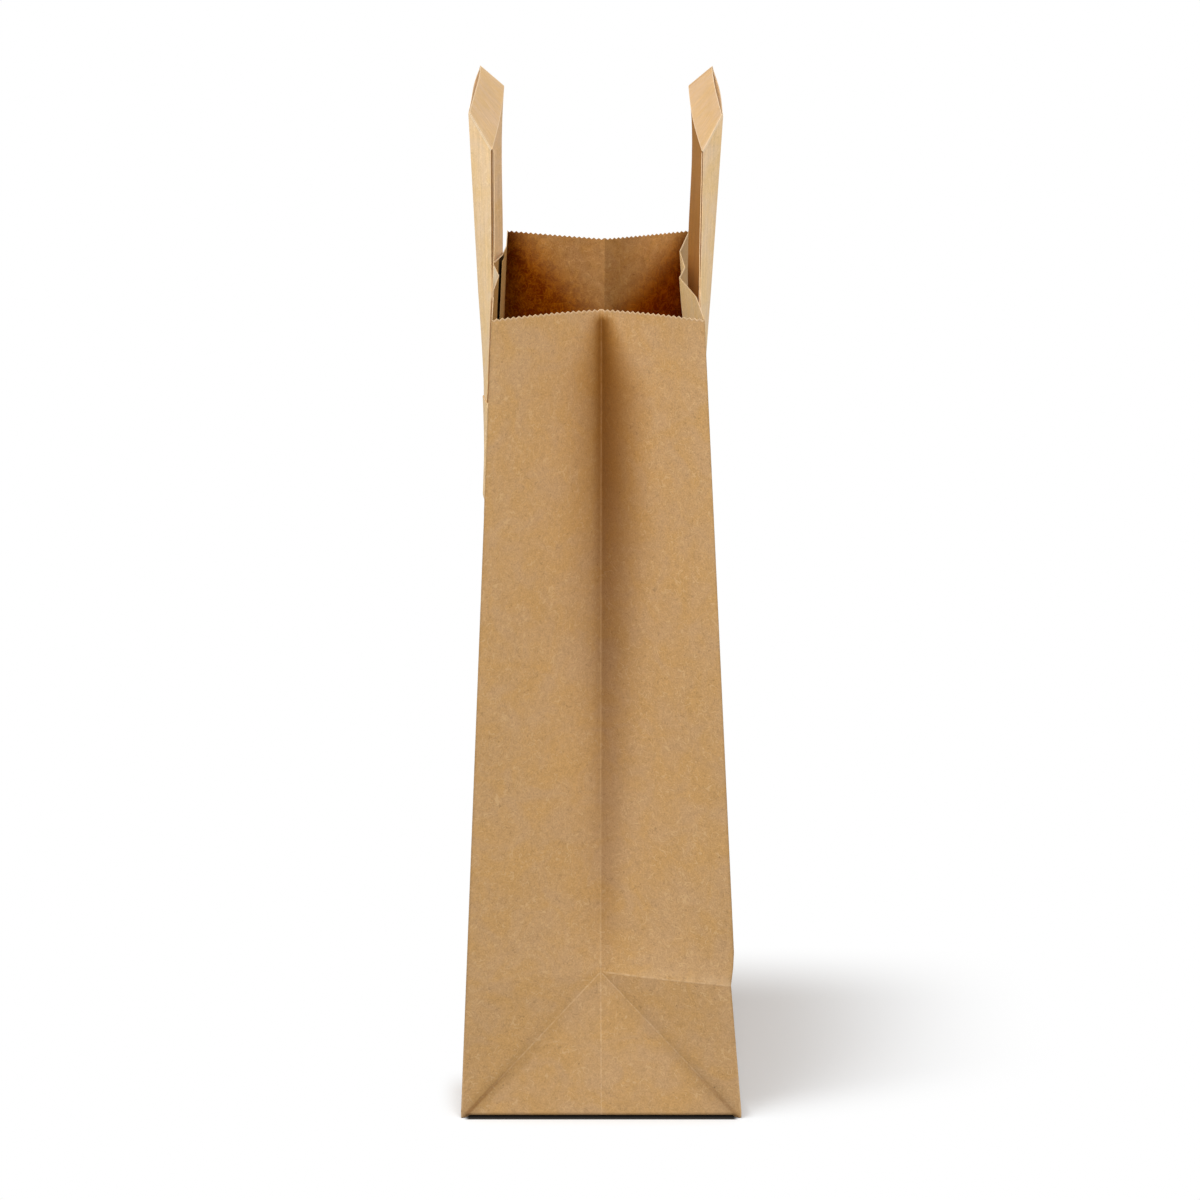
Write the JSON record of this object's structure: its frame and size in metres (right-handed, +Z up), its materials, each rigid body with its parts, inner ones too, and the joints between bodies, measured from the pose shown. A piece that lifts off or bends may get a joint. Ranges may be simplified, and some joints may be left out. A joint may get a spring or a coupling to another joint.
{
  "type": "paper carrier bag",
  "caption": "Free-standing kraft paper carrier bag with folded-in gussets, a block bottom, a pinked rim and flat strap handles held by patches.",
  "frame": {"origin": "middle of the base, on the surface the bag stands on", "axes": "+X across the gussets (the bag's depth), +Y along the wide panels (the bag's width), +Z up"},
  "size_m": [0.12, 0.26, 0.432],
  "materials": {
    "sack_paper": "uncoated brown kraft, matt, with fine fibres",
    "strap_paper": "uncoated lighter kraft, folded in layers, matt",
    "patch_paper": "uncoated brown kraft, matt"
  },
  "bodies": {
    "root": {"bag_body": "sack_paper", "left_handle": "strap_paper", "right_handle": "strap_paper", "left_handle_patch": "patch_paper", "right_handle_patch": "patch_paper"}
  },
  "joints": []
}
